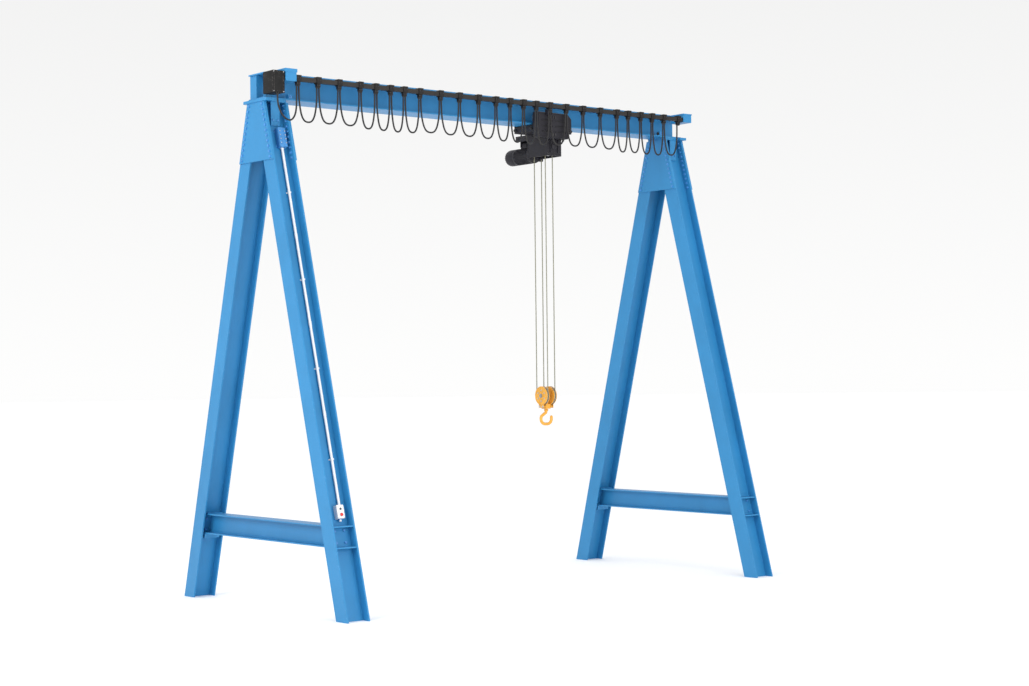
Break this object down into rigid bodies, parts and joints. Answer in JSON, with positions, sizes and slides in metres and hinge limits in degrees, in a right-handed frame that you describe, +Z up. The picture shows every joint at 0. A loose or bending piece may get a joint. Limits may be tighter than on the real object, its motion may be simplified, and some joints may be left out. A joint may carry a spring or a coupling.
{
  "type": "portable gantry crane",
  "caption": "Freestanding A-frame gantry crane: an H-beam girder on two braced leg pairs, with an electric rope hoist on a running trolley, a festoon cable and a push-button box.",
  "frame": {"origin": "on the floor, at the middle of the box over the whole crane", "axes": "+X along the girder, to the right seen from the side with the festoon cable and push-button box; +Y to the rear; +Z up"},
  "size_m": [5.9452, 3.15, 5.5],
  "materials": {
    "blue_paint": "gloss blue paint",
    "galvanised_bolts": "bolts painted over in the frame's blue",
    "dark_rail": "dark brown-black paint",
    "black_plastic": "black moulded plastic",
    "black_rubber": "black rubber cable sheath",
    "white_plastic": "white plastic",
    "red_plastic": "red plastic",
    "dark_grey_paint": "dark grey satin paint",
    "steel": "machined steel",
    "rope_steel": "galvanised wire rope",
    "yellow_paint": "yellow-orange paint"
  },
  "bodies": {
    "frame": {"girder": "blue_paint", "left_front_leg": "blue_paint", "left_rear_leg": "blue_paint", "right_front_leg": "blue_paint", "right_rear_leg": "blue_paint", "left_tie_beam": "blue_paint", "right_tie_beam": "blue_paint", "gusset_plates": "blue_paint", "frame_bolts": "galvanised_bolts", "head_plates": "blue_paint", "festoon_rail": "dark_rail", "rail_brackets": "blue_paint", "travel_stops": "blue_paint", "junction_box": "black_plastic", "isolator_box": "blue_paint", "conduit": "white_plastic", "control_box": "white_plastic", "festoon_end_clamps": "black_plastic", "festoon_cable": "black_rubber"},
    "trolley": {"trolley_frame": "blue_paint", "electrics_box": "dark_grey_paint", "hoist_frame": "dark_grey_paint", "hoist_motor": "dark_grey_paint", "rope_falls": "rope_steel"},
    "hook_block": {"block_frame": "yellow_paint", "block_axle": "steel"},
    "drum": {"drum": "dark_grey_paint"},
    "return_sheave": {"return_sheave": "steel"},
    "left_block_sheave": {"left_block_sheave": "yellow_paint"},
    "right_block_sheave": {"right_block_sheave": "yellow_paint"},
    "hook": {"hook": "yellow_paint"},
    "dark_button": {"dark_button": "black_plastic"},
    "stop_button": {"stop_button": "red_plastic"},
    "left_front_wheel": {"left_front_wheel": "steel"},
    "right_front_wheel": {"right_front_wheel": "steel"},
    "left_rear_wheel": {"left_rear_wheel": "steel"},
    "right_rear_wheel": {"right_rear_wheel": "steel"},
    "carrier_02": {"carrier_02": "black_plastic"},
    "carrier_03": {"carrier_03": "black_plastic"},
    "carrier_04": {"carrier_04": "black_plastic"},
    "carrier_05": {"carrier_05": "black_plastic"},
    "carrier_06": {"carrier_06": "black_plastic"},
    "carrier_07": {"carrier_07": "black_plastic"},
    "carrier_08": {"carrier_08": "black_plastic"},
    "carrier_09": {"carrier_09": "black_plastic"},
    "carrier_10": {"carrier_10": "black_plastic"},
    "carrier_11": {"carrier_11": "black_plastic"},
    "carrier_12": {"carrier_12": "black_plastic"},
    "carrier_13": {"carrier_13": "black_plastic"},
    "carrier_14": {"carrier_14": "black_plastic"},
    "carrier_15": {"carrier_15": "black_plastic"},
    "carrier_16": {"carrier_16": "black_plastic"},
    "carrier_17": {"carrier_17": "black_plastic"},
    "carrier_18": {"carrier_18": "black_plastic"},
    "carrier_19": {"carrier_19": "black_plastic"},
    "carrier_20": {"carrier_20": "black_plastic"},
    "carrier_21": {"carrier_21": "black_plastic"},
    "carrier_22": {"carrier_22": "black_plastic"},
    "carrier_23": {"carrier_23": "black_plastic"},
    "carrier_24": {"carrier_24": "black_plastic"}
  },
  "joints": [
    {"name": "trolley_travel", "type": "slide", "parent": "frame", "child": "trolley", "axis": [1, 0, 0], "range_m": [-2.2, 1.15], "deforming": ["festoon_cable"]},
    {"name": "hook_lift", "type": "slide", "parent": "trolley", "child": "hook_block", "axis": [0, 0, 1], "range_m": [-1.65, 2.2], "deforming": ["rope_falls"]},
    {"name": "left_front_wheel_spin", "type": "hinge", "parent": "trolley", "child": "left_front_wheel", "pos_m": [0.695, -0.125, 5.2843], "axis": [0, 1, 0], "continuous": true},
    {"name": "right_front_wheel_spin", "type": "hinge", "parent": "trolley", "child": "right_front_wheel", "pos_m": [1.075, -0.125, 5.2843], "axis": [0, 1, 0], "continuous": true},
    {"name": "left_rear_wheel_spin", "type": "hinge", "parent": "trolley", "child": "left_rear_wheel", "pos_m": [0.695, 0.125, 5.2843], "axis": [0, 1, 0], "continuous": true},
    {"name": "right_rear_wheel_spin", "type": "hinge", "parent": "trolley", "child": "right_rear_wheel", "pos_m": [1.075, 0.125, 5.2843], "axis": [0, 1, 0], "continuous": true},
    {"name": "drum_spin", "type": "hinge", "parent": "trolley", "child": "drum", "pos_m": [0.907, 0.02, 4.965], "axis": [0, 1, 0], "continuous": true},
    {"name": "return_sheave_spin", "type": "hinge", "parent": "trolley", "child": "return_sheave", "pos_m": [0.885, -0.098, 4.93], "axis": [0, 1, 0], "continuous": true},
    {"name": "left_block_sheave_spin", "type": "hinge", "parent": "hook_block", "child": "left_block_sheave", "pos_m": [0.832, 0, 2.115], "axis": [1, 0, 0], "continuous": true},
    {"name": "right_block_sheave_spin", "type": "hinge", "parent": "hook_block", "child": "right_block_sheave", "pos_m": [0.938, 0, 2.115], "axis": [1, 0, 0], "continuous": true},
    {"name": "hook_swivel", "type": "hinge", "parent": "hook_block", "child": "hook", "pos_m": [0.885, 0, 1.98], "axis": [0, 0, 1], "continuous": true},
    {"name": "dark_button_press", "type": "slide", "parent": "frame", "child": "dark_button", "axis": [0, 0.9648, -0.263], "range_m": [0, 0.005], "stiffness_N_per_m": 600, "springref_m": -0.002},
    {"name": "stop_button_press", "type": "slide", "parent": "frame", "child": "stop_button", "axis": [0, 0.9648, -0.263], "range_m": [0, 0.005], "stiffness_N_per_m": 600, "springref_m": -0.002},
    {"name": "carrier_02_slide", "type": "slide", "parent": "frame", "child": "carrier_02", "axis": [1, 0, 0], "range_m": [-0.16, 0.0837]},
    {"name": "carrier_03_slide", "type": "slide", "parent": "carrier_02", "child": "carrier_03", "axis": [1, 0, 0], "range_m": [-0.1698, 0.0888]},
    {"name": "carrier_04_slide", "type": "slide", "parent": "carrier_03", "child": "carrier_04", "axis": [1, 0, 0], "range_m": [-0.173, 0.0905]},
    {"name": "carrier_05_slide", "type": "slide", "parent": "carrier_04", "child": "carrier_05", "axis": [1, 0, 0], "range_m": [-0.1306, 0.0683]},
    {"name": "carrier_06_slide", "type": "slide", "parent": "carrier_05", "child": "carrier_06", "axis": [1, 0, 0], "range_m": [-0.1241, 0.0649]},
    {"name": "carrier_07_slide", "type": "slide", "parent": "carrier_06", "child": "carrier_07", "axis": [1, 0, 0], "range_m": [-0.1176, 0.0615]},
    {"name": "carrier_08_slide", "type": "slide", "parent": "carrier_07", "child": "carrier_08", "axis": [1, 0, 0], "range_m": [-0.1339, 0.07]},
    {"name": "carrier_09_slide", "type": "slide", "parent": "carrier_08", "child": "carrier_09", "axis": [1, 0, 0], "range_m": [-0.1796, 0.0939]},
    {"name": "carrier_10_slide", "type": "slide", "parent": "carrier_09", "child": "carrier_10", "axis": [1, 0, 0], "range_m": [-0.1698, 0.0888]},
    {"name": "carrier_11_slide", "type": "slide", "parent": "carrier_10", "child": "carrier_11", "axis": [1, 0, 0], "range_m": [-0.173, 0.0905]},
    {"name": "carrier_12_slide", "type": "slide", "parent": "carrier_11", "child": "carrier_12", "axis": [1, 0, 0], "range_m": [-0.16, 0.0837]},
    {"name": "carrier_13_slide", "type": "slide", "parent": "carrier_12", "child": "carrier_13", "axis": [1, 0, 0], "range_m": [-0.1306, 0.0683]},
    {"name": "carrier_14_slide", "type": "slide", "parent": "carrier_13", "child": "carrier_14", "axis": [1, 0, 0], "range_m": [-0.1273, 0.0666]},
    {"name": "carrier_15_slide", "type": "slide", "parent": "carrier_14", "child": "carrier_15", "axis": [1, 0, 0], "range_m": [-0.1208, 0.0632]},
    {"name": "carrier_16_slide", "type": "slide", "parent": "carrier_15", "child": "carrier_16", "axis": [1, 0, 0], "range_m": [-0.1306, 0.0683]},
    {"name": "carrier_24_slide", "type": "slide", "parent": "frame", "child": "carrier_24", "axis": [1, 0, 0], "range_m": [-0.2921, 0.1527]},
    {"name": "carrier_23_slide", "type": "slide", "parent": "carrier_24", "child": "carrier_23", "axis": [1, 0, 0], "range_m": [-0.2362, 0.1235]},
    {"name": "carrier_22_slide", "type": "slide", "parent": "carrier_23", "child": "carrier_22", "axis": [1, 0, 0], "range_m": [-0.23, 0.1202]},
    {"name": "carrier_21_slide", "type": "slide", "parent": "carrier_22", "child": "carrier_21", "axis": [1, 0, 0], "range_m": [-0.2486, 0.13]},
    {"name": "carrier_20_slide", "type": "slide", "parent": "carrier_21", "child": "carrier_20", "axis": [1, 0, 0], "range_m": [-0.2238, 0.117]},
    {"name": "carrier_19_slide", "type": "slide", "parent": "carrier_20", "child": "carrier_19", "axis": [1, 0, 0], "range_m": [-0.3232, 0.169]},
    {"name": "carrier_18_slide", "type": "slide", "parent": "carrier_19", "child": "carrier_18", "axis": [1, 0, 0], "range_m": [-0.3294, 0.1722]},
    {"name": "carrier_17_slide", "type": "slide", "parent": "carrier_18", "child": "carrier_17", "axis": [1, 0, 0], "range_m": [-0.317, 0.1657]}
  ],
  "couplings": [
    {"joint": "left_front_wheel_spin", "follows": "trolley_travel", "rad_per_m": 16.667},
    {"joint": "right_front_wheel_spin", "follows": "trolley_travel", "rad_per_m": 16.667},
    {"joint": "left_rear_wheel_spin", "follows": "trolley_travel", "rad_per_m": 16.667},
    {"joint": "right_rear_wheel_spin", "follows": "trolley_travel", "rad_per_m": 16.667},
    {"joint": "drum_spin", "follows": "hook_lift", "rad_per_m": 53.333},
    {"joint": "return_sheave_spin", "follows": "hook_lift", "rad_per_m": -37.736},
    {"joint": "left_block_sheave_spin", "follows": "hook_lift", "rad_per_m": 30.612},
    {"joint": "right_block_sheave_spin", "follows": "hook_lift", "rad_per_m": -10.204},
    {"joint": "carrier_02_slide", "follows": "trolley_travel", "ratio": 0.0727},
    {"joint": "carrier_03_slide", "follows": "trolley_travel", "ratio": 0.077151},
    {"joint": "carrier_04_slide", "follows": "trolley_travel", "ratio": 0.078635},
    {"joint": "carrier_05_slide", "follows": "trolley_travel", "ratio": 0.059347},
    {"joint": "carrier_06_slide", "follows": "trolley_travel", "ratio": 0.05638},
    {"joint": "carrier_07_slide", "follows": "trolley_travel", "ratio": 0.053412},
    {"joint": "carrier_08_slide", "follows": "trolley_travel", "ratio": 0.060831},
    {"joint": "carrier_09_slide", "follows": "trolley_travel", "ratio": 0.081602},
    {"joint": "carrier_10_slide", "follows": "trolley_travel", "ratio": 0.077151},
    {"joint": "carrier_11_slide", "follows": "trolley_travel", "ratio": 0.078635},
    {"joint": "carrier_12_slide", "follows": "trolley_travel", "ratio": 0.0727},
    {"joint": "carrier_13_slide", "follows": "trolley_travel", "ratio": 0.059347},
    {"joint": "carrier_14_slide", "follows": "trolley_travel", "ratio": 0.057864},
    {"joint": "carrier_15_slide", "follows": "trolley_travel", "ratio": 0.054896},
    {"joint": "carrier_16_slide", "follows": "trolley_travel", "ratio": 0.059347},
    {"joint": "carrier_24_slide", "follows": "trolley_travel", "ratio": 0.13277},
    {"joint": "carrier_23_slide", "follows": "trolley_travel", "ratio": 0.10734},
    {"joint": "carrier_22_slide", "follows": "trolley_travel", "ratio": 0.10452},
    {"joint": "carrier_21_slide", "follows": "trolley_travel", "ratio": 0.11299},
    {"joint": "carrier_20_slide", "follows": "trolley_travel", "ratio": 0.10169},
    {"joint": "carrier_19_slide", "follows": "trolley_travel", "ratio": 0.14689},
    {"joint": "carrier_18_slide", "follows": "trolley_travel", "ratio": 0.14972},
    {"joint": "carrier_17_slide", "follows": "trolley_travel", "ratio": 0.14407}
  ]
}
